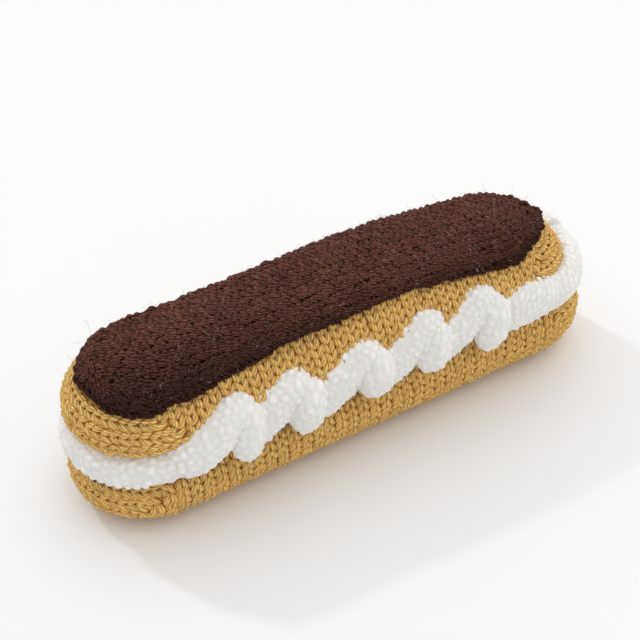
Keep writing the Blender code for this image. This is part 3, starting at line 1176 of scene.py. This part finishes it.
def fibre_piece(name, rings, material):
    """One piece of many fibres, their ends closed."""
    number, steps, sides = rings.shape[:3]
    places = rings.reshape(-1, 3)
    places[:, 2] = np.maximum(places[:, 2], FLOOR_CLEAR)
    faces = []
    base = np.arange(number)[:, None] * steps * sides
    for step in range(steps - 1):
        for side in range(sides):
            following = (side + 1) % sides
            low = base + step * sides
            corners = [low + side, low + following, low + sides + following, low + sides + side]
            faces.append(np.concatenate(corners, 1))
    last = base + (steps - 1) * sides
    caps = [np.concatenate([base + 2, base + 1, base], 1), np.concatenate([last, last + 1, last + 2], 1)]
    mesh = bpy.data.meshes.new(name)
    every = np.concatenate(faces).tolist() + np.concatenate(caps).tolist()
    mesh.from_pydata(places.tolist(), [], every)
    mesh.validate()
    return made_piece(name, mesh, material)


def roots_on(knit, number, random):
    """Random places on a knitted piece's loops, near their tops."""
    mesh = bpy.data.objects[knit].data
    places = np.empty(len(mesh.vertices) * 3, np.float32)
    mesh.vertices.foreach_get("co", places)
    normals = np.empty(len(mesh.vertices) * 3, np.float32)
    mesh.vertices.foreach_get("normal", normals)
    lift = np.empty(len(mesh.vertices), np.float32)
    mesh.attributes["lift"].data.foreach_get("value", lift)
    shown = np.flatnonzero(lift > 0.6)
    chosen = random.choice(shown, number, replace=False)
    return places.reshape(-1, 3)[chosen].astype(float), normals.reshape(-1, 3)[chosen].astype(float)


class MakeFuzz(bpy.types.Operator):
    """Adds the loose fibres of the wool"""
    bl_idname = "eclair.make_fuzz"
    bl_label = "Add the fuzz"

    def execute(self, context):
        colours = context.scene.eclair_colours
        random = np.random.default_rng(41)
        finishes = {}
        for name, colour in (("golden_fuzz", (0.72, 0.52, 0.28)), ("brown_fuzz", (0.17, 0.095, 0.08)),
                             ("white_fuzz", colours.white), ("stray_fuzz", (0.42, 0.35, 0.31))):
            finishes[name] = fuzz_finish(name, colour)
        for name, knit, number, length, radius, finish, slot in FUZZ:
            roots, normals = roots_on(knit, number, random)
            rings = hair_arrays(random, roots - normals * ROOT_SINK, normals, length, radius)
            ride_as(fibre_piece(name, rings, finishes[finish]), knit)
        return {"FINISHED"}


# Stage

SKY = (0.32, 0.12, 0.42)        # how much brighter the sky is to the right, behind and above
SKY_BASE = 0.765
FLOOR_SIZE = 6.0


class MakeStage(bpy.types.Operator):
    """Adds the floor, the lights and the camera"""
    bl_idname = "eclair.make_stage"
    bl_label = "Set the stage"

    def execute(self, context):
        stage = context.scene.eclair_stage
        colours = context.scene.eclair_colours
        bpy.ops.object.select_all(action="DESELECT")
        bpy.ops.mesh.primitive_plane_add(size=FLOOR_SIZE, location=(0, 0, 0))
        floor = context.object
        floor.name = "table_top"
        finish = Finish("table_white")
        finish.paint(finish.noise(12.0), scaled(colours.table, 0.995), scaled(colours.table, 1.005))
        finish.fixed(Roughness=0.6)
        floor.data.materials.append(finish.material)

        world = bpy.data.worlds.new("soft_sky")
        world.use_nodes = True
        tree = world.node_tree
        split = tree.nodes.new("ShaderNodeSeparateXYZ")
        tree.links.new(tree.nodes.new("ShaderNodeTexCoord").outputs["Generated"], split.inputs[0])
        aside, behind, above = [Value(tree, split.outputs[axis]) * share for axis, share in zip("XYZ", SKY)]
        background = tree.nodes["Background"]
        background.inputs["Color"].default_value = (*stage.sky_colour, 1.0)
        strength = stage.sky_power * (aside + behind + above + SKY_BASE)
        tree.links.new(strength.socket, background.inputs["Strength"])
        context.scene.world = world

        key = bpy.data.lights.new("key", "SUN")
        key.energy = stage.key_power
        key.color = stage.key_colour
        key.angle = stage.key_angle
        lamp = bpy.data.objects.new("key", key)
        lamp.rotation_euler = Vector(stage.key_aim).to_track_quat("-Z", "Y").to_euler()
        context.scene.collection.objects.link(lamp)

        lens = bpy.data.cameras.new("camera")
        lens.lens = stage.lens
        lens.sensor_width = 36.0
        lens.clip_start = 0.01
        camera = bpy.data.objects.new("camera", lens)
        camera.location = Vector(stage.camera_place)
        camera.rotation_euler = Vector(stage.camera_aim).to_track_quat("-Z", "Y").to_euler()
        context.scene.collection.objects.link(camera)
        context.scene.camera = camera
        context.scene.view_settings.view_transform = "Standard"
        return {"FINISHED"}


class ECLAIR_PT_panel(bpy.types.Panel):
    """The eclair's pieces"""
    bl_label = "Eclair"
    bl_idname = "ECLAIR_PT_panel"
    bl_space_type = "VIEW_3D"
    bl_region_type = "UI"
    bl_category = "Eclair"

    def draw(self, context):
        for operator in OPERATORS:
            self.layout.operator(operator.bl_idname)
        for group in (context.scene.eclair_sizes, context.scene.eclair_colours, context.scene.eclair_stage):
            for name in group.bl_rna.properties.keys():
                if name not in ("rna_type", "name"):
                    self.layout.prop(group, name)


OPERATORS = (MakePads, MakeBunCovers, MakeIcingCover, MakeCream, MakeFuzz, MakeStage)
CLASSES = (EclairSizes, EclairColours, EclairStage, *OPERATORS, ECLAIR_PT_panel)


def register():
    for item in CLASSES:
        bpy.utils.register_class(item)
    bpy.types.Scene.eclair_sizes = bpy.props.PointerProperty(type=EclairSizes)
    bpy.types.Scene.eclair_colours = bpy.props.PointerProperty(type=EclairColours)
    bpy.types.Scene.eclair_stage = bpy.props.PointerProperty(type=EclairStage)


def unregister():
    del bpy.types.Scene.eclair_sizes
    del bpy.types.Scene.eclair_colours
    del bpy.types.Scene.eclair_stage
    for item in reversed(CLASSES):
        bpy.utils.unregister_class(item)


def main():
    register()
    bpy.ops.eclair.make_pads()
    bpy.ops.eclair.make_bun_covers()
    bpy.ops.eclair.make_icing_cover()
    bpy.ops.eclair.make_cream()
    bpy.ops.eclair.make_fuzz()
    bpy.ops.eclair.make_stage()


if __name__ == "__main__":
    main()
